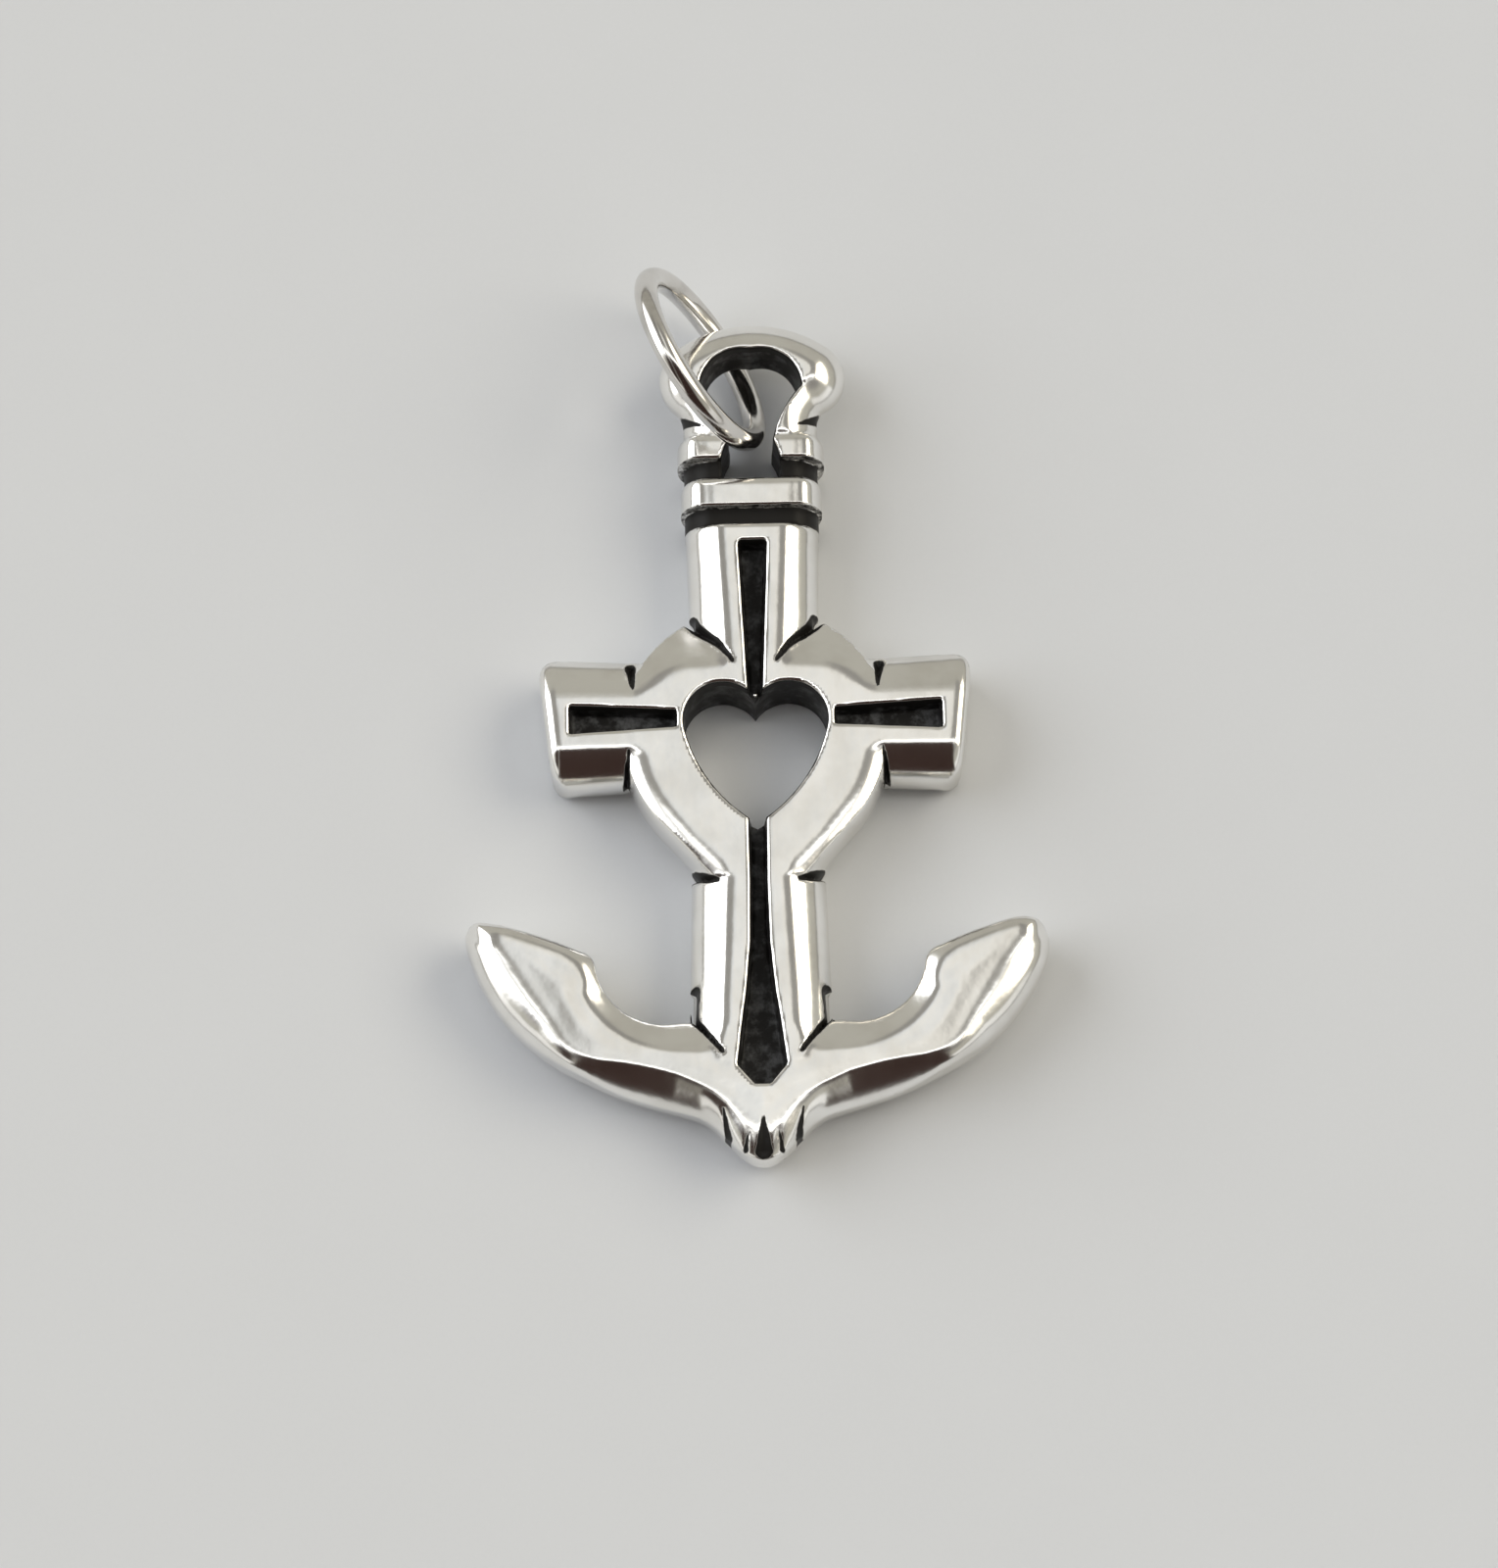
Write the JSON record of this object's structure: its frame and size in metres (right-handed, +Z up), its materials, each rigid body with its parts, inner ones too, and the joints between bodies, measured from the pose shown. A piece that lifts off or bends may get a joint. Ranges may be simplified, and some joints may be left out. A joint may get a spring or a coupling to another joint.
{
  "type": "anchor pendant",
  "caption": "Cast silver anchor pendant with a heart cut through its middle, engraved wedges and a thick top loop that carries a round-wire jump ring.",
  "frame": {"origin": "on the surface that the pendant lies on, under the middle of its bounding box", "axes": "+Y from the crown of the anchor to its loop, +Z up out of the polished face, +X to the right as the face is seen"},
  "size_m": [0.0196, 0.0312, 0.0066],
  "materials": {
    "cast_silver": "polished cast silver with black patina left in the wedges, grooves and creases",
    "wire_silver": "bright polished round silver wire"
  },
  "bodies": {
    "root": {"anchor": "cast_silver", "jump_ring": "wire_silver"}
  },
  "joints": []
}
